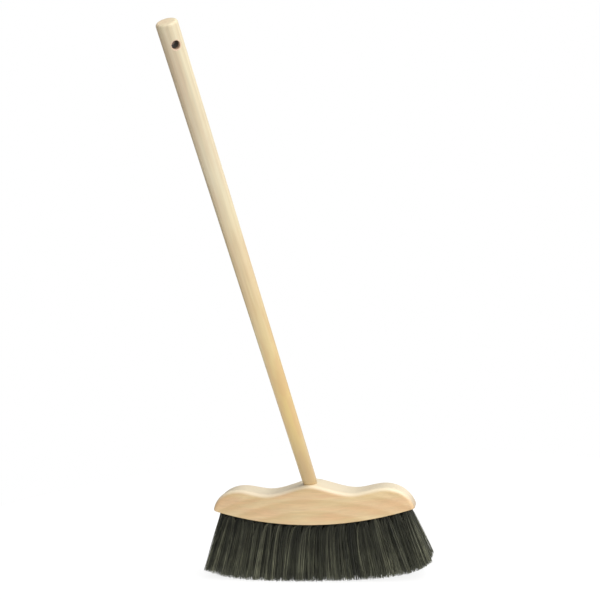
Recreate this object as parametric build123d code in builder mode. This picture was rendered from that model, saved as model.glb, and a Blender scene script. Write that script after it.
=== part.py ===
from build123d import *
import os
from math import cos, radians, sin, sqrt, tan

# A small household broom: a wavy-topped wooden stock filled with dark bristle
# tufts, and a straight round handle pushed into a slanted socket in its crest.
# Millimetres. X runs along the stock, +Z is up and the handle leans towards -Y.
# The origin is the centre of the sweeping edge, level with the lowest bristle tips.

# Stock: outline seen from the front, heights above the middle of its underside
stock_length = 274.0
underside_radius = 540.0
nose_height = 2.0
nose_slope = 0.3
hump_offset = 101.0
hump_height = 45.8
valley_offset = 61.0
valley_height = 40.0
crest_height = 52.0
crest_shoulder_offset = 14.0
crest_shoulder_drop = 2.2
end_fullness = 1.2

# Stock: plan and rounded edges
stock_width = 46.0
stock_end_width = 27.0
upper_rounding = 6.0
lower_rounding = 1.0

# Handle: a straight dowel whose lower end is a tapered tenon
handle_diameter = 19.0
handle_reach = 630.0
handle_lean = 40.0
handle_end_rounding = 2.5
tenon_taper = 2.5
tenon_end_chamfer = 1.0
taper_setback = 1.0
hang_hole_diameter = 7.5
hang_hole_setback = 18.0
hang_hole_turn = 34.0
hang_hole_chamfer = 0.5

# Socket for the tenon, and the fit between the two
socket_depth = 26.0
socket_offset = -6.0
tenon_clearance = 0.05
tenon_end_gap = 0.3

# Holes for the tufts, in columns of five that zigzag across the underside
column_count = 19
field_end_margin = 12.0
row_edge_margin = 6.5
tuft_hole_diameter = 6.0
tuft_hole_depth = 13.0

# Bristle tufts: they fan out along the stock and splay a little to front and back
tuft_length = 72.0
tuft_root_clearance = 0.15
tuft_gap = 0.7
fan_angle = 19.5
row_splay = 3.2

# Line that the bristle tips are trimmed to: its rise above the middle half-way along
# the stock, at the last column of tufts, and where it ends past the stock. The
# allowance is the extra length that a tuft has before it is trimmed
trim_midway_rise = 2.3
trim_field_rise = 8.2
trim_end_rise = 21.5
trim_overhang = 20.0
trim_allowance = 17.25

# Flat wire anchors at the bottom of the tuft holes
anchor_width = 2.0
anchor_thickness = 0.4
anchor_clearance = 0.1

os.makedirs("parts", exist_ok=True)

half_length = stock_length / 2
underside_z = tuft_length
crest_z = underside_z + crest_height
row_steps = (-2, -1, 0, 1, 2)


def underside_height(x):
    """Height of the arched underside at x."""
    return underside_z + underside_radius - sqrt(underside_radius**2 - x**2)


def half_width(x):
    """Half the stock's width at x, between its bowed front and back."""
    bow = (stock_width - stock_end_width) / 2
    bow_radius = (half_length**2 + bow**2) / (2 * bow)
    return stock_width / 2 - bow_radius + sqrt(bow_radius**2 - x**2)


# The handle's axis crosses the crest at the middle of the socket's mouth
lean = radians(handle_lean)
mouth_centre = (0, socket_offset, crest_z)
handle_direction = (0, -sin(lean), cos(lean))
handle_axis = Axis(origin=mouth_centre, direction=handle_direction)
handle_plane = Plane(origin=mouth_centre, x_dir=(1, 0, 0), z_dir=handle_direction)
handle_section = Plane(
    origin=mouth_centre, x_dir=(1, 0, 0), z_dir=(0, -cos(lean), -sin(lean))
)
handle_radius = handle_diameter / 2
taper_start = handle_radius * tan(lean) + taper_setback


def tapered_outline(bottom, top, clearance):
    """Half section of the tapered tenon and the straight shank above it."""
    narrowing = (taper_start - bottom) * tan(radians(tenon_taper))
    return [
        (0, bottom),
        (handle_radius - narrowing + clearance, bottom),
        (handle_radius + clearance, taper_start),
        (handle_radius + clearance, top),
        (0, top),
    ]


# Tuft holes: three in line across each column, and two between it and the next
field_half_length = half_length - field_end_margin
column_pitch = 2 * field_half_length / (column_count - 1)


def holes_in_column(column):
    """X positions and rows of the holes in one column."""
    x = -field_half_length + column * column_pitch
    holes = [(x, row) for row in row_steps[::2]]
    if column < column_count - 1:
        holes += [(x + column_pitch / 2, row) for row in row_steps[1::2]]
    return holes


def hole_mouth(x, row):
    """Centre of a hole's mouth on the underside."""
    row_spacing = (half_width(x) - row_edge_margin) / row_steps[-1]
    return Vector(x, row * row_spacing, underside_height(x))


def tuft_direction(x, row):
    """Unit vector along a tuft, from its root to its tip."""
    fan = radians(fan_angle) * x / field_half_length
    return Vector(sin(fan), tan(radians(row_splay) * row), -cos(fan)).normalized()


def tuft_plane(x, row):
    """Plane at a hole's mouth that faces along its tuft."""
    return Plane(origin=hole_mouth(x, row), x_dir=(0, 1, 0), z_dir=tuft_direction(x, row))


def tuft_tip(x, row):
    """Centre of a tuft's untrimmed tip."""
    return hole_mouth(x, row) + tuft_direction(x, row) * tuft_length


columns = [holes_in_column(column) for column in range(column_count)]
all_holes = [hole for column in columns for hole in column]


def tip_radius(x, row):
    """Radius that leaves a gap between a tuft's tip and its nearest neighbour's."""
    tip = tuft_tip(x, row)
    others = [tuft_tip(*hole) for hole in all_holes if hole != (x, row)]
    return (min((tip - other).length for other in others) - tuft_gap) / 2


# Stock: one block of wood, sawn to the wavy outline, rounded over and drilled
with BuildPart() as stock:
    with BuildSketch(Plane.XZ):
        nose_top = underside_height(half_length) + nose_height
        right_wave = [
            (crest_shoulder_offset, crest_z - crest_shoulder_drop),
            (valley_offset, underside_z + valley_height),
            (hump_offset, underside_z + hump_height),
            (half_length, nose_top),
        ]
        left_wave = [(-x, z) for x, z in reversed(right_wave)]
        with BuildLine():
            top = Spline(
                *left_wave,
                (0, crest_z),
                *right_wave,
                tangents=[(nose_slope, 1), (nose_slope, -1)],
                tangent_scalars=[end_fullness, end_fullness],
            )
            right_nose = Line(top @ 1, (half_length, nose_top - nose_height))
            underside = ThreePointArc(
                right_nose @ 1, (0, underside_z), (-half_length, nose_top - nose_height)
            )
            Line(underside @ 1, top @ 0)
        make_face()
    extrude(amount=stock_width, both=True)
    with BuildSketch(Plane.XY):
        plan_end = half_length + upper_rounding
        with BuildLine():
            front_bow = ThreePointArc(
                (-plan_end, -half_width(plan_end)),
                (0, -stock_width / 2),
                (plan_end, -half_width(plan_end)),
            )
            right_end = Line(front_bow @ 1, (plan_end, half_width(plan_end)))
            back_bow = ThreePointArc(
                right_end @ 1,
                (0, stock_width / 2),
                (-plan_end, half_width(plan_end)),
            )
            Line(back_bow @ 1, front_bow @ 0)
        make_face()
    extrude(amount=2 * crest_z, mode=Mode.INTERSECT)
    front_wall = faces().sort_by(Axis.Y)[0]
    back_wall = faces().sort_by(Axis.Y)[-1]
    for wall in (front_wall, back_wall):
        fillet(wall.edges().sort_by(Axis.Z)[1:], upper_rounding)
    fillet(faces().sort_by(Axis.Z)[0].edges(), lower_rounding)
    with BuildSketch(handle_section):
        with BuildLine():
            Polyline(
                *tapered_outline(-socket_depth, taper_start + handle_diameter, tenon_clearance),
                close=True,
            )
        make_face()
    revolve(axis=handle_axis, mode=Mode.SUBTRACT)
    with Locations(*[tuft_plane(*hole).offset(-tuft_hole_depth) for hole in all_holes]):
        Cylinder(
            tuft_hole_diameter / 2,
            2 * tuft_hole_depth,
            align=(Align.CENTER, Align.CENTER, Align.MIN),
            mode=Mode.SUBTRACT,
        )
stock.part.label = "stock"
export_step(stock.part, "parts/stock.step")

# Handle: a turned dowel with a hang hole through its top end
with BuildPart() as handle:
    with BuildSketch(handle_section):
        with BuildLine():
            Polyline(
                *tapered_outline(tenon_end_gap - socket_depth, handle_reach, 0), close=True
            )
        make_face()
    revolve(axis=handle_axis)
    ends = edges().filter_by(GeomType.CIRCLE).sort_by(handle_axis)
    fillet(ends[-1], handle_end_rounding)
    chamfer(ends[0], tenon_end_chamfer)
    turn = radians(hang_hole_turn)
    hole_direction = (sin(turn), -cos(lean) * cos(turn), -sin(lean) * cos(turn))
    hole_centre = handle_plane.offset(handle_reach - hang_hole_setback).origin
    with BuildSketch(Plane(origin=hole_centre, x_dir=handle_direction, z_dir=hole_direction)):
        Circle(hang_hole_diameter / 2)
    extrude(amount=handle_diameter, both=True, mode=Mode.SUBTRACT)
    chamfer(edges(Select.LAST), hang_hole_chamfer)
handle.part.label = "handle"
export_step(handle.part, "parts/handle.step")

# Block that trims the bristle tips to one long curve
with BuildPart() as trimming:
    with BuildSketch(Plane.XZ):
        trim_end = half_length + trim_overhang
        right_trim = [
            (half_length / 2, trim_midway_rise),
            (field_half_length, trim_field_rise),
            (trim_end, trim_end_rise),
        ]
        left_trim = [(-x, z) for x, z in reversed(right_trim)]
        with BuildLine():
            trim_line = Spline(*left_trim, (0, 0), *right_trim)
            Polyline(
                trim_line @ 1,
                (trim_end + tuft_length, trim_end_rise),
                (trim_end + tuft_length, -tuft_length),
                (-trim_end - tuft_length, -tuft_length),
                (-trim_end - tuft_length, trim_end_rise),
                trim_line @ 0,
            )
        make_face()
    extrude(amount=2 * stock_width, both=True)

# Tufts: each is a bundle of bristles folded into its hole, a slim cone that widens
# towards its tip; its root stops above the wire anchor
anchor_room = anchor_width + 2 * anchor_clearance
root_depth = tuft_hole_depth - anchor_room
tuft_mouth_radius = tuft_hole_diameter / 2 - tuft_root_clearance
tuft_reach = tuft_length + trim_allowance
for number, column in enumerate(columns, start=1):
    name = f"tuft_column_{number:02d}"
    with BuildPart() as tuft_column:
        for hole in column:
            widening = (tip_radius(*hole) - tuft_mouth_radius) / tuft_length
            with BuildSketch(tuft_plane(*hole).offset(-root_depth)):
                Circle(tuft_mouth_radius - widening * root_depth)
            with BuildSketch(tuft_plane(*hole).offset(tuft_reach)):
                Circle(tuft_mouth_radius + widening * tuft_reach)
            loft()
        add(trimming.part, mode=Mode.SUBTRACT)
    tuft_column.part.label = name
    export_step(tuft_column.part, f"parts/{name}.step")

# Anchors: short flat wires, driven edge-on across the bottom of every hole
anchor_rise = anchor_clearance - tuft_hole_depth
with BuildPart() as tuft_anchors:
    with Locations(*[tuft_plane(*hole).offset(anchor_rise) for hole in all_holes]):
        Box(
            tuft_hole_diameter - 2 * anchor_clearance,
            anchor_thickness,
            anchor_width,
            align=(Align.CENTER, Align.CENTER, Align.MIN),
        )
tuft_anchors.part.label = "tuft_anchors"
export_step(tuft_anchors.part, "parts/tuft_anchors.step")
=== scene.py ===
import math

import bpy
import numpy as np
from mathutils import Matrix, Vector


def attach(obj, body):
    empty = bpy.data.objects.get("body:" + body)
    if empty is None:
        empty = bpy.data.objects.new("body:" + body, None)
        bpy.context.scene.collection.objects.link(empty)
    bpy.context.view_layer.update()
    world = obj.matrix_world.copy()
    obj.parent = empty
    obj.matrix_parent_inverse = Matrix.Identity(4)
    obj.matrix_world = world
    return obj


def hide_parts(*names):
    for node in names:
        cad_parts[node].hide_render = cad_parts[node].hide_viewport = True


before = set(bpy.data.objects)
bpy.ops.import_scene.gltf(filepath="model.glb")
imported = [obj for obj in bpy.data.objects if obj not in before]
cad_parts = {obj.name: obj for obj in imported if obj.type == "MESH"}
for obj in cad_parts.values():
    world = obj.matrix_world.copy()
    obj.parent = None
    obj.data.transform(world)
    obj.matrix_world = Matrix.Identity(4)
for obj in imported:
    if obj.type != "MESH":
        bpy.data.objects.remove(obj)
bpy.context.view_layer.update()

# ---------------------------------------------------------------------------
# Stock: one block of pale close-grained hardwood, grain along its length, sawn
# to a wave, rounded over and sanded, and sealed with a thin satin lacquer. The
# mouths of the tuft holes and of the handle's socket are bored straight in.
# ---------------------------------------------------------------------------
stock_length = 0.274
stock_pale = (0.73, 0.555, 0.305, 1)
stock_tan = (0.58, 0.40, 0.17, 1)
stock_rosy = (0.71, 0.44, 0.24, 1)
# Cream of the painted highlight laid on the stock's top faces.
painted_highlight_cream = (0.92, 0.83, 0.64, 1)


def new_finish(name):
    """An empty node material, and its tree."""
    finish = bpy.data.materials.new(name)
    finish.use_nodes = True
    finish.node_tree.nodes.clear()
    return finish, finish.node_tree


def put(tree, kind, inputs=None, **settings):
    """Adds a node; an input is either a value or the socket that feeds it."""
    made = tree.nodes.new(kind)
    for name, value in settings.items():
        setattr(made, name, value)
    for name, value in (inputs or {}).items():
        if isinstance(value, bpy.types.NodeSocket):
            tree.links.new(value, made.inputs[name])
        else:
            made.inputs[name].default_value = value
    return made


def sum_of(tree, operation, first, second=0.0, third=0.0):
    """Result of a Math node."""
    made = put(tree, "ShaderNodeMath", {0: first, 1: second, 2: third}, operation=operation)
    return made.outputs[0]


def cloud(tree, place, stretch, detail=2.0, roughness=0.5, distortion=0.0):
    """Noise from 0 to 1, with its own number of cells to the metre on each axis."""
    stretched = put(tree, "ShaderNodeVectorMath", {0: place, 1: stretch}, operation="MULTIPLY")
    made = put(
        tree,
        "ShaderNodeTexNoise",
        {
            "Vector": stretched.outputs[0],
            "Scale": 1.0,
            "Detail": detail,
            "Roughness": roughness,
            "Distortion": distortion,
        },
    )
    return made.outputs[0]


def spread(tree, value, low, high, to_low=0.0, to_high=1.0, smooth=True):
    """Takes low..high to to_low..to_high, and holds it there beyond."""
    made = put(
        tree,
        "ShaderNodeMapRange",
        {0: value, 1: low, 2: high, 3: to_low, 4: to_high},
        interpolation_type="SMOOTHSTEP" if smooth else "LINEAR",
    )
    return made.outputs[0]


def blend_colours(tree, share, first, second, way="MIX"):
    """First colour, with the given share of the second laid over it."""
    made = put(
        tree,
        "ShaderNodeMix",
        {"Factor": share, 6: first, 7: second},
        data_type="RGBA",
        blend_type=way,
    )
    return made.outputs[2]


def grain_of_wood(tree, place, end_on, look):
    """Colour, roughness and height of sawn wood whose grain runs along X of place."""
    drift = cloud(tree, place, look["drift_cells"], detail=1.5)
    bulge = sum_of(tree, "MULTIPLY_ADD", drift, look["drift"], -look["drift"] / 2)
    parts = put(tree, "ShaderNodeSeparateXYZ", {0: place})
    arch = sum_of(tree, "MULTIPLY", parts.outputs[0], parts.outputs[0])
    bulge = sum_of(tree, "MULTIPLY_ADD", arch, look["arch"], bulge)
    deep = sum_of(tree, "SUBTRACT", parts.outputs[1], look["pith"][0])
    high = sum_of(tree, "SUBTRACT", parts.outputs[2], look["pith"][1])
    high = sum_of(tree, "ADD", high, bulge)
    from_pith = sum_of(
        tree,
        "SQRT",
        sum_of(tree, "MULTIPLY_ADD", deep, deep, sum_of(tree, "MULTIPLY", high, high)),
    )
    turn = sum_of(tree, "FRACT", sum_of(tree, "DIVIDE", from_pith, look["ring_width"]))
    ring = sum_of(
        tree,
        "MULTIPLY",
        spread(tree, turn, 0.05, 0.70),
        spread(tree, turn, 0.74, 1.0, 1.0, 0.0),
    )
    uneven = cloud(tree, place, look["patch_cells"], detail=3.0, roughness=0.6)
    patch = spread(tree, uneven, 0.38, 0.66)
    ring = sum_of(tree, "MULTIPLY", ring, spread(tree, uneven, 0.30, 0.62, 0.35, 1.0))
    fibre = cloud(tree, place, look["fibre_cells"], detail=2.5, roughness=0.55)
    streak = cloud(tree, place, look["streak_cells"], detail=2.0)
    pores = spread(tree, cloud(tree, place, look["pore_cells"], detail=1.0), 0.66, 0.78)

    colour = blend_colours(
        tree, sum_of(tree, "MULTIPLY", ring, look["ring_share"]), look["pale"], look["tan"]
    )
    colour = blend_colours(
        tree, sum_of(tree, "MULTIPLY", patch, look["patch_share"]), colour, look["rosy"]
    )
    streaked = spread(tree, streak, 0.30, 0.72, look["streak_dark"], 1.04)
    fibred = spread(tree, fibre, 0.28, 0.70, look["fibre_dark"], 1.05)
    shade = sum_of(tree, "MULTIPLY", streaked, fibred)
    shade = sum_of(
        tree, "MULTIPLY", shade, sum_of(tree, "MULTIPLY_ADD", pores, -look["pore_depth"], 1.0)
    )
    shade = sum_of(
        tree, "MULTIPLY", shade, spread(tree, end_on, 0.55, 1.0, 1.0, look["end_dark"])
    )
    grey = put(tree, "ShaderNodeCombineColor", {0: shade, 1: shade, 2: shade})
    colour = blend_colours(tree, 1.0, colour, grey.outputs[0], "MULTIPLY")
    roughness = spread(tree, fibre, 0.3, 0.7, look["roughness"] - 0.05, look["roughness"] + 0.07)
    height = sum_of(tree, "MULTIPLY_ADD", pores, -0.7, sum_of(tree, "MULTIPLY", fibre, 0.5))
    return colour, roughness, height


def lacquer_over(tree, colour, roughness, height, relief, coat):
    """Satin-lacquered wood, as the finish of the tree."""
    bump = put(
        tree, "ShaderNodeBump", {"Height": height, "Strength": relief, "Distance": 0.00006}
    )
    wood = put(
        tree,
        "ShaderNodeBsdfPrincipled",
        {
            "Base Color": colour,
            "Roughness": roughness,
            "Normal": bump.outputs[0],
            "IOR": 1.5,
            "Coat Weight": coat,
            "Coat Roughness": 0.32,
        },
    )
    put(tree, "ShaderNodeOutputMaterial", {0: wood.outputs[0]})


def give_finish(piece, finish):
    """The finish on every material slot of a carried-over CAD piece."""
    piece.data.materials.clear()
    piece.data.materials.append(finish)


stock_look = {
    "pale": stock_pale,
    "tan": stock_tan,
    "rosy": stock_rosy,
    "pith": (0.050, 0.010),
    "ring_width": 0.0135,
    "arch": 2.1,
    "drift": 0.015,
    "drift_cells": (9.0, 16.0, 16.0),
    "patch_cells": (11.0, 45.0, 60.0),
    "streak_cells": (14.0, 260.0, 260.0),
    "fibre_cells": (36.0, 1300.0, 1300.0),
    "pore_cells": (260.0, 2600.0, 2600.0),
    "ring_share": 0.70,
    "patch_share": 0.65,
    "streak_dark": 0.965,
    "fibre_dark": 0.95,
    "pore_depth": 0.12,
    "end_dark": 0.62,
    "roughness": 0.42,
}
stock_finish, tree = new_finish("stock_hardwood")
seen = put(tree, "ShaderNodeTexCoord")
facing = put(tree, "ShaderNodeSeparateXYZ", {0: seen.outputs["Normal"]})
grain = grain_of_wood(
    tree, seen.outputs["Object"], sum_of(tree, "ABSOLUTE", facing.outputs[0]), stock_look
)
# Faces turned upwards are blended towards cream: a painted highlight on the top, where the light from
# above falls.
painted_top_highlight = sum_of(tree, "MULTIPLY", spread(tree, facing.outputs[2], 0.10, 0.85), 0.75)
lacquer_over(
    tree, blend_colours(tree, painted_top_highlight, grain[0], painted_highlight_cream), grain[1], grain[2], relief=0.35, coat=0.4
)
give_finish(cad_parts["stock"], stock_finish)

# ---------------------------------------------------------------------------
# Wire anchors: short flat lengths of drawn steel wire, one driven edge-on across
# the bottom of each tuft hole to grip the bristles folded over it.
# ---------------------------------------------------------------------------
wire_dull = (0.42, 0.41, 0.39, 1)
wire_bright = (0.60, 0.59, 0.57, 1)
anchor_finish, tree = new_finish("anchor_drawn_wire")
seen = put(tree, "ShaderNodeTexCoord")
drawn = cloud(tree, seen.outputs["Object"], (1500.0, 9000.0, 2500.0), detail=3.0)
metal = put(
    tree,
    "ShaderNodeBsdfPrincipled",
    {
        "Base Color": blend_colours(tree, spread(tree, drawn, 0.3, 0.7), wire_dull, wire_bright),
        "Roughness": spread(tree, drawn, 0.3, 0.7, 0.28, 0.46),
        "Metallic": 1.0,
    },
)
put(tree, "ShaderNodeOutputMaterial", {0: metal.outputs[0]})
give_finish(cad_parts["tuft_anchors"], anchor_finish)

# ---------------------------------------------------------------------------
# Bristles: 93 tufts of stiff black fibre, each a bundle folded into its hole, in
# columns that zigzag across the underside. They fan out along the stock, splay
# a little to front and back, and are trimmed together to one long curve.
# ---------------------------------------------------------------------------
tuft_length = 0.072
underside_radius = 0.540
stock_width = 0.046
stock_end_width = 0.027
row_edge_margin = 0.0065
column_count = 19
field_end_margin = 0.012
field_half_length = stock_length / 2 - field_end_margin
fan_angle = math.radians(19.5)
row_splay = math.radians(3.2)
mouth_radius = 0.00278
root_depth = 0.0106
fibres_to_a_tuft = 190
fibre_radius = 0.00022
fibre_rings = 8
flare_power = 0.34
locks_to_a_tuft = 24
lock_reach = 1.02
lock_scatter = 0.08
lock_pull = (0.02, 0.18)
fibre_scatter = 0.07
stray_share = 0.01
stray_reach = (1.1, 1.5)
root_scatter = 0.00004
tuft_spread = np.array([0.0114, 0.0072])
trim_slack = 0.0002
trim_scatter = 0.00018
short_share = 0.03
short_by = (0.0003, 0.0018)
fibre_bow = 0.0006
lock_bow = 0.0008
lock_tone_share = 0.55
sweep_reach = -0.016
sweep_centre = 0.010
sweep_width = 0.065
ripple_reach = 0.0016
left_side_start = 0.145
left_side_share = 0.22
right_side_start = 0.134
right_side_share = 0.80
trim_places = np.array([-0.160, -0.150, -0.138, -0.120, -0.090, -0.045, 0.0, 0.045, 0.075,
                        0.100, 0.125, 0.140, 0.150, 0.160])
trim_rises = np.array([0.0165, 0.0115, 0.0078, 0.0038, 0.0010, 0.0003, 0.0003, 0.0016, 0.0032,
                       0.0055, 0.0096, 0.0145, 0.0200, 0.0270])
bristle_draw = np.random.default_rng(27)


def trim_height(x):
    """Height of the trimmed edge at x."""
    return np.interp(x, trim_places, trim_rises)


def half_width(x):
    """Half the stock's width at x."""
    bow = (stock_width - stock_end_width) / 2
    bow_radius = ((stock_length / 2) ** 2 + bow**2) / (2 * bow)
    return stock_width / 2 - bow_radius + math.sqrt(bow_radius**2 - x**2)


def tuft_mouth(x, row):
    """Centre of a tuft hole's mouth."""
    height = tuft_length + underside_radius - math.sqrt(underside_radius**2 - x**2)
    return np.array([x, row * (half_width(x) - row_edge_margin) / 2, height])


def tuft_line(x, row):
    """Unit vector along a tuft, root to tip."""
    fan = fan_angle * x / field_half_length
    line = np.array([math.sin(fan), math.tan(row_splay * row), -math.cos(fan)])
    return line / np.linalg.norm(line)


def tufts_in_column(column):
    """The x position and row of each tuft in a column."""
    pitch = 2 * field_half_length / (column_count - 1)
    x = -field_half_length + column * pitch
    holes = [(x, row) for row in (-2, 0, 2)]
    if column < column_count - 1:
        holes += [(x + pitch / 2, row) for row in (-1, 1)]
    return holes


def combed_lean(x, y):
    """How far the tips at x, y have been combed along the stock."""
    swept = sweep_reach * np.exp(-(((x - sweep_centre) / sweep_width) ** 2))
    return swept + ripple_reach * np.sin(x * 190 + y * 90) * np.cos(x * 67 - y * 240)


def drawn_in(x):
    """Tips at the two ends stand closer, so the sweep ends in a straight side."""
    past_left = np.maximum(-x - left_side_start, 0.0)
    past_right = np.maximum(x - right_side_start, 0.0)
    return x + past_left * (1 - left_side_share) - past_right * (1 - right_side_share)


def seed_pattern(count):
    """Points spread evenly over a disc of radius 1, as seeds in a flower head."""
    step = np.arange(count) + 0.5
    reach = np.sqrt(step / count)
    turn = step * math.pi * (3 - math.sqrt(5))
    return np.stack([reach * np.cos(turn), reach * np.sin(turn)], axis=1)


def squared(disc):
    """A disc's points moved out to fill a square, so that neighbouring tufts meet."""
    x, y = np.clip(disc, -1.15, 1.15).T
    across = 2 + x**2 - y**2
    up = 2 - x**2 + y**2
    edge = 2 * math.sqrt(2)
    root = [np.sqrt(np.maximum(v, 0)) for v in (across + edge * x, across - edge * x,
                                                up + edge * y, up - edge * y)]
    return np.stack([root[0] - root[1], root[2] - root[3]], axis=1) / 2


def comb_tuft(x, row):
    """Centre lines of one tuft's fibres, their radii and the tone of each."""
    mouth, line = tuft_mouth(x, row), tuft_line(x, row)
    across = np.cross(line, [1.0, 0.0, 0.0])
    across /= np.linalg.norm(across)
    along = np.cross(across, line)
    along *= np.sign(along[0])
    across *= np.sign(across[1])
    count = fibres_to_a_tuft
    turn = bristle_draw.uniform(0, 2 * math.pi)
    spin = np.array([[math.cos(turn), -math.sin(turn)], [math.sin(turn), math.cos(turn)]])
    disc = seed_pattern(count) @ spin.T
    locks = seed_pattern(locks_to_a_tuft) @ spin.T * lock_reach
    locks += bristle_draw.normal(0, lock_scatter, locks.shape)
    lock = np.argmin(((disc[:, None] - locks[None]) ** 2).sum(2), axis=1)
    pull = bristle_draw.uniform(*lock_pull, len(locks))[lock][:, None]
    flare = disc * (1 - pull) + locks[lock] * pull
    flare += bristle_draw.normal(0, fibre_scatter, (count, 2))
    stray = bristle_draw.random(count) < stray_share
    flare[stray] *= bristle_draw.uniform(*stray_reach, (stray.sum(), 1))
    root = disc * mouth_radius + bristle_draw.normal(0, root_scatter, (count, 2))
    tip = squared(flare) * tuft_spread
    start = mouth + root[:, :1] * along + root[:, 1:] * across
    aim = mouth + line * tuft_length + tip[:, :1] * along + tip[:, 1:] * across
    aim[:, 0] = drawn_in(aim[:, 0] + combed_lean(aim[:, 0], aim[:, 1]))
    heading = aim - start
    uneven = np.abs(bristle_draw.normal(0, trim_scatter, count)) + trim_slack
    short = bristle_draw.random(count) < short_share
    uneven[short] += bristle_draw.uniform(*short_by, short.sum())
    share = np.ones(count)
    for _ in range(6):
        here = start + heading * share[:, None]
        gap = here[:, 2] - trim_height(here[:, 0]) - uneven
        share += gap / -heading[:, 2]
    end = start + heading * share[:, None]
    bow = bristle_draw.normal(0, fibre_bow, (count, 2))
    bow += bristle_draw.normal(0, lock_bow, (len(locks), 2))[lock]
    bow = bow[:, :1] * along + bow[:, 1:] * across
    step = np.linspace(0, 1, fibre_rings - 1) ** 1.5
    run = (end - start) @ line
    outward = (end - start) - run[:, None] * line
    path = start[:, None] + line * (run[:, None] * step)[:, :, None]
    path += outward[:, None] * (step**flare_power)[None, :, None]
    path += bow[:, None] * (np.sin(math.pi * step) * (1 - 0.4 * step))[None, :, None]
    seat = start - line * root_depth
    path = np.concatenate([seat[:, None], path], axis=1)
    thick = fibre_radius * bristle_draw.uniform(0.85, 1.15, count)
    reach = np.concatenate([[0.0], step])
    tone = lock_tone_share * bristle_draw.random(len(locks))[lock]
    tone += (1 - lock_tone_share) * bristle_draw.random(count)
    return path, np.tile(thick[:, None], fibre_rings), tone, np.tile(reach, (count, 1))


def bundle_fibres(name, strands):
    """One mesh of closed four-sided fibres, each with its own patch of the map."""
    path = np.concatenate([s[0] for s in strands])
    thick = np.concatenate([s[1] for s in strands])
    tone = np.concatenate([s[2] for s in strands])
    reach = np.concatenate([s[3] for s in strands])
    count, rings = path.shape[:2]
    run = path[:, -1] - path[:, 1]
    run /= np.linalg.norm(run, axis=1, keepdims=True)
    side = np.cross(run, bristle_draw.normal(0, 1, (count, 3)))
    side /= np.linalg.norm(side, axis=1, keepdims=True)
    over = np.cross(run, side)
    ways = np.stack([side, over, -side, -over], axis=1)
    points = path[:, :, None] + ways[:, None] * thick[:, :, None, None]
    points = points.reshape(-1, 3)
    first = (np.arange(count) * rings * 4)[:, None, None]
    level = (np.arange(rings - 1) * 4)[None, :, None]
    here, beside = np.arange(4)[None, None], np.roll(np.arange(4), -1)[None, None]
    walls = np.stack(
        np.broadcast_arrays(
            first + level + here,
            first + level + beside,
            first + level + 4 + beside,
            first + level + 4 + here,
        ),
        axis=-1,
    ).reshape(count, -1, 4)
    low_cap = first[:, 0] + np.array([[3, 2, 1, 0]])
    high_cap = first[:, 0] + (rings - 1) * 4 + np.array([[0, 1, 2, 3]])
    faces = np.concatenate([walls, low_cap[:, None], high_cap[:, None]], axis=1)
    per_fibre = faces.shape[1]
    mesh = bpy.data.meshes.new(name)
    mesh.vertices.add(len(points))
    mesh.vertices.foreach_set("co", points.astype(np.float32).ravel())
    mesh.loops.add(faces.size)
    mesh.loops.foreach_set("vertex_index", faces.astype(np.int32).ravel())
    mesh.polygons.add(count * per_fibre)
    mesh.polygons.foreach_set("loop_start", np.arange(0, faces.size, 4, dtype=np.int32))
    for label, values in (("fibre_tone", tone[:, None] + 0 * reach), ("fibre_reach", reach)):
        noted = mesh.attributes.new(label, "FLOAT", "POINT")
        noted.data.foreach_set("value", np.repeat(values.ravel(), 4).astype(np.float32))
    grid = math.ceil(math.sqrt(count))
    cell = np.arange(count)
    corner = np.stack([cell % grid, cell // grid], axis=1) / grid
    rows = rings + 1
    wall_row = np.repeat(np.arange(rings - 1), 4) + 1
    wall_column = np.tile(np.arange(4), rings - 1)
    left = np.concatenate([wall_column, [0, 0]]) / 4
    base = np.concatenate([wall_row, [0, rings]]) / rows
    square = np.array([[0, 0], [1, 0], [1, 1], [0, 1]])
    size = np.array([1 / 4, 1 / rows])
    patch = np.stack([left, base], axis=1)[:, None] + square * size
    uv = corner[:, None, None] + (0.04 + patch * 0.92) / grid
    layer = mesh.uv_layers.new(name="OFBake")
    layer.data.foreach_set("uv", uv.astype(np.float32).ravel())
    mesh.update(calc_edges=True)
    mesh.validate()
    mesh.polygons.foreach_set("use_smooth", np.ones(count * per_fibre, dtype=bool))
    piece = bpy.data.objects.new(name, mesh)
    bpy.context.scene.collection.objects.link(piece)
    return piece


bristle_black = (0.016, 0.018, 0.012, 1)
bristle_dark = (0.042, 0.045, 0.028, 1)
bristle_grey = (0.115, 0.118, 0.080, 1)
bristle_pale = (0.275, 0.275, 0.185, 1)
bristle_finish, tree = new_finish("bristle_fibre")
tone = put(tree, "ShaderNodeAttribute", attribute_name="fibre_tone").outputs["Fac"]
reach = put(tree, "ShaderNodeAttribute", attribute_name="fibre_reach").outputs["Fac"]
seen = put(tree, "ShaderNodeTexCoord")
mottle = cloud(tree, seen.outputs["Object"], (60.0, 60.0, 60.0), detail=2.0)
dyed = put(tree, "ShaderNodeValToRGB", {0: tone})
dyed.color_ramp.elements[0].position = 0.12
dyed.color_ramp.elements[0].color = bristle_black
dyed.color_ramp.elements[1].position = 0.90
dyed.color_ramp.elements[1].color = bristle_pale
for stop_at, shade in ((0.40, bristle_dark), (0.68, bristle_grey)):
    stop = dyed.color_ramp.elements.new(stop_at)
    stop.color = shade
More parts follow.
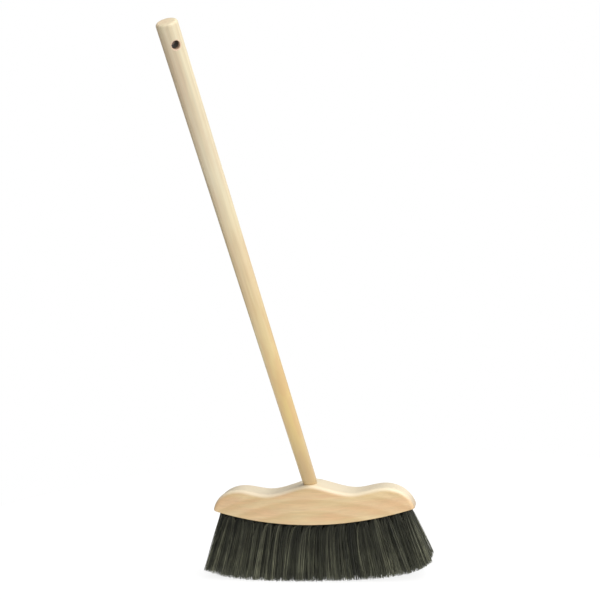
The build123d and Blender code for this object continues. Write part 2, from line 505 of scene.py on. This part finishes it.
# Fibres are darkened towards the root and lightened towards the tip: painted shade under the stock's
# overhang. The mottle is real tone that varies at random.
painted_root_shade = spread(tree, reach, 0.0, 1.0, 0.55, 1.22)
mottle_and_root_shade = sum_of(tree, "MULTIPLY", painted_root_shade, spread(tree, mottle, 0.3, 0.7, 0.7, 1.15))
mottle_and_root_shade_grey = put(tree, "ShaderNodeCombineColor", {0: mottle_and_root_shade, 1: mottle_and_root_shade, 2: mottle_and_root_shade})
fibre = put(
    tree,
    "ShaderNodeBsdfPrincipled",
    {
        "Base Color": blend_colours(tree, 1.0, dyed.outputs[0], mottle_and_root_shade_grey.outputs[0], "MULTIPLY"),
        "Roughness": spread(tree, mottle, 0.3, 0.7, 0.40, 0.52),
        "IOR": 1.45,
    },
)
put(tree, "ShaderNodeOutputMaterial", {0: fibre.outputs[0]})

for column in range(column_count):
    label = f"{column + 1:02d}"
    strands = [comb_tuft(x, row) for x, row in tufts_in_column(column)]
    bristles = bundle_fibres(f"bristles_{label}", strands)
    bristles.data.materials.append(bristle_finish)
    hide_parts(f"tuft_column_{label}")
    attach(bristles, "head")

# ---------------------------------------------------------------------------
# Handle: a straight turned dowel of the same wood, its top end rounded over and
# bored through for hanging, its lower end a tapered tenon pushed into the stock. Its
# grain runs along it, pale at the top, golden below the middle and tan at the foot.
# ---------------------------------------------------------------------------
handle_lean = math.radians(40)
crest_height = 0.052
socket_offset = -0.006
handle_foot = Vector((0.0, socket_offset, tuft_length + crest_height))
handle_line = Vector((0.0, -math.sin(handle_lean), math.cos(handle_lean)))
handle_front = Vector((0.0, -math.cos(handle_lean), -math.sin(handle_lean)))
handle_pale = (0.87, 0.77, 0.535, 1)
handle_tan = (0.66, 0.51, 0.29, 1)
handle_rosy = (0.74, 0.53, 0.36, 1)
handle_gold = (0.72, 0.515, 0.175, 1)
handle_amber = (0.67, 0.42, 0.19, 1)
handle_tanned = (0.56, 0.405, 0.215, 1)
bored_rim = (0.86, 0.62, 0.46, 1)
# Near black: painted shade deep inside the hang hole.
hole_painted_shade = (0.03, 0.012, 0.005, 1)
handle_reach = 0.630
hang_hole_setback = 0.018
hang_hole_turn = math.radians(34)
hang_hole_radius = 0.00375
hang_hole_centre = handle_foot + handle_line * (handle_reach - hang_hole_setback)
hang_hole_line = handle_front * math.cos(hang_hole_turn)
hang_hole_line.x = math.sin(hang_hole_turn)
handle_look = {
    "pale": handle_pale,
    "tan": handle_tan,
    "rosy": handle_rosy,
    "pith": (0.030, 0.012),
    "ring_width": 0.0034,
    "arch": 0.0,
    "drift": 0.006,
    "drift_cells": (5.0, 40.0, 40.0),
    "patch_cells": (9.0, 55.0, 55.0),
    "streak_cells": (5.0, 200.0, 200.0),
    "fibre_cells": (14.0, 400.0, 400.0),
    "pore_cells": (90.0, 1300.0, 1300.0),
    "ring_share": 0.36,
    "patch_share": 0.45,
    "streak_dark": 0.95,
    "fibre_dark": 0.955,
    "pore_depth": 0.04,
    "end_dark": 0.96,
    "roughness": 0.44,
}
handle_finish, tree = new_finish("handle_hardwood")
seen = put(tree, "ShaderNodeTexCoord")
offset = put(
    tree, "ShaderNodeVectorMath", {0: seen.outputs["Object"], 1: handle_foot}, operation="SUBTRACT"
).outputs[0]
along_grain, over_front, over_side = (
    put(tree, "ShaderNodeVectorMath", {0: offset, 1: way}, operation="DOT_PRODUCT").outputs["Value"]
    for way in (handle_line, handle_front, (1.0, 0.0, 0.0))
)
place = put(tree, "ShaderNodeCombineXYZ", {0: along_grain, 1: over_front, 2: over_side}).outputs[0]
faces_end = put(
    tree, "ShaderNodeVectorMath", {0: seen.outputs["Normal"], 1: handle_line}, operation="DOT_PRODUCT"
).outputs["Value"]
colour, roughness, height = grain_of_wood(
    tree, place, sum_of(tree, "ABSOLUTE", faces_end), handle_look
)
golden = spread(tree, along_grain, 0.18, 0.49, 0.85, 0.0, smooth=False)
colour = blend_colours(tree, golden, colour, handle_gold)
ambered = spread(tree, cloud(tree, place, (16.0, 90.0, 90.0)), 0.44, 0.62, 0.0, 0.60)
colour = blend_colours(
    tree, sum_of(tree, "MULTIPLY", golden, ambered), colour, handle_amber
)
tanned = spread(tree, along_grain, 0.02, 0.15, 0.80, 0.0)
colour = blend_colours(tree, tanned, colour, handle_tanned)
from_hole = put(
    tree,
    "ShaderNodeVectorMath",
    {0: seen.outputs["Object"], 1: hang_hole_centre},
    operation="SUBTRACT",
).outputs[0]
off_line = put(
    tree, "ShaderNodeVectorMath", {0: from_hole, 1: hang_hole_line}, operation="CROSS_PRODUCT"
).outputs[0]
off_line = put(tree, "ShaderNodeVectorMath", {0: off_line}, operation="LENGTH").outputs["Value"]
in_hole = spread(tree, off_line, hang_hole_radius + 0.0004, hang_hole_radius + 0.0012, 1.0, 0.0)
down_hole = put(
    tree, "ShaderNodeVectorMath", {0: from_hole, 1: hang_hole_line}, operation="DOT_PRODUCT"
).outputs["Value"]
# The hang hole's wall darkens to near black away from its two mouths: painted shade inside the hole.
# Near the mouths it keeps a rosy tan.
hole_shade_depth = spread(tree, sum_of(tree, "ABSOLUTE", down_hole), 0.0030, 0.0068, 1.0, 0.0)
hole_wall_with_shade = blend_colours(tree, hole_shade_depth, bored_rim, hole_painted_shade)
colour = blend_colours(tree, sum_of(tree, "MULTIPLY", in_hole, 0.9), colour, hole_wall_with_shade)
lacquer_over(tree, colour, roughness, height, relief=0.15, coat=0.2)
give_finish(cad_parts["handle"], handle_finish)

# ---------------------------------------------------------------------------
# Floor and light: a plain pale floor, a white room, and one broad soft light high
# on the right, in front.
# ---------------------------------------------------------------------------
floor_radius = 0.8
floor_sides = 96
floor_drop = 0.0002
floor_mesh = bpy.data.meshes.new("floor")
rim = [
    (floor_radius * math.cos(turn), floor_radius * math.sin(turn), -floor_drop)
    for turn in np.linspace(0, 2 * math.pi, floor_sides, endpoint=False)
]
floor_mesh.from_pydata(rim, [], [list(range(len(rim)))])
floor = bpy.data.objects.new("floor", floor_mesh)
bpy.context.scene.collection.objects.link(floor)
floor_finish, tree = new_finish("floor_pale")
pale = put(
    tree,
    "ShaderNodeBsdfPrincipled",
    {
        "Base Color": (0.16, 0.16, 0.16, 1),
        "Roughness": 0.9,
        "Emission Color": (1.0, 1.0, 1.0, 1),
        "Emission Strength": 0.87,
    },
)
put(tree, "ShaderNodeOutputMaterial", {0: pale.outputs[0]})
floor_mesh.materials.append(floor_finish)

scene = bpy.context.scene
window_side = Vector((0.86, -0.36, 0.26)).normalized()
room = bpy.data.worlds.new("white_room")
room.use_nodes = True
room.node_tree.nodes.clear()
towards = put(room.node_tree, "ShaderNodeTexCoord").outputs["Generated"]
to_window = put(
    room.node_tree, "ShaderNodeVectorMath", {0: towards, 1: window_side}, operation="DOT_PRODUCT"
).outputs["Value"]
glow = put(
    room.node_tree,
    "ShaderNodeBackground",
    {
        "Color": (1.0, 1.0, 1.0, 1),
        "Strength": spread(room.node_tree, to_window, -1.0, 1.0, 0.04, 1.0, smooth=False),
    },
)
seen_glow = put(
    room.node_tree, "ShaderNodeBackground", {"Color": (1.0, 1.0, 1.0, 1), "Strength": 1.0}
)
rays = put(room.node_tree, "ShaderNodeLightPath")
both = put(
    room.node_tree,
    "ShaderNodeMixShader",
    {
        0: rays.outputs["Is Camera Ray"],
        1: glow.outputs[0],
        2: seen_glow.outputs[0],
    },
)
put(room.node_tree, "ShaderNodeOutputWorld", {0: both.outputs[0]})
scene.world = room

lamp = bpy.data.lights.new("key_light", "SUN")
lamp.energy = 1.8
lamp.angle = math.radians(60)
lamp.color = (1.0, 0.985, 0.96)
key_light = bpy.data.objects.new("key_light", lamp)
key_light.rotation_mode = "QUATERNION"
key_from = Vector((0.75, -0.40, 1.05))
key_light.rotation_quaternion = key_from.to_track_quat("Z", "Y")
scene.collection.objects.link(key_light)

scene.view_settings.view_transform = "Standard"

# ---------------------------------------------------------------------------
# Camera: a little to the right of the front and level with the middle of the
# handle, tipped a few degrees on its own axis.
# ---------------------------------------------------------------------------
camera_azimuth = math.radians(12.81)
camera_elevation = math.radians(0.11)
camera_roll = math.radians(-4.14)
camera_place = Vector((0.2335, -1.0151, 0.3704))
view_back = Vector(
    (
        math.sin(camera_azimuth) * math.cos(camera_elevation),
        -math.cos(camera_azimuth) * math.cos(camera_elevation),
        math.sin(camera_elevation),
    )
)
view_right = (-view_back).cross(Vector((0, 0, 1))).normalized()
view_down = (-view_back).cross(view_right)
level_share, tipped_share = math.cos(camera_roll), math.sin(camera_roll)
rolled_right = level_share * view_right - tipped_share * view_down
rolled_down = tipped_share * view_right + level_share * view_down
lens = bpy.data.cameras.new("camera")
lens.lens = 46.54
lens.sensor_width = 36.0
lens.clip_start = 0.01
lens.clip_end = 200.0
camera = bpy.data.objects.new("camera", lens)
turned = Matrix((rolled_right, -rolled_down, view_back)).transposed()
camera.matrix_world = Matrix.Translation(camera_place) @ turned.to_4x4()
scene.collection.objects.link(camera)
scene.camera = camera
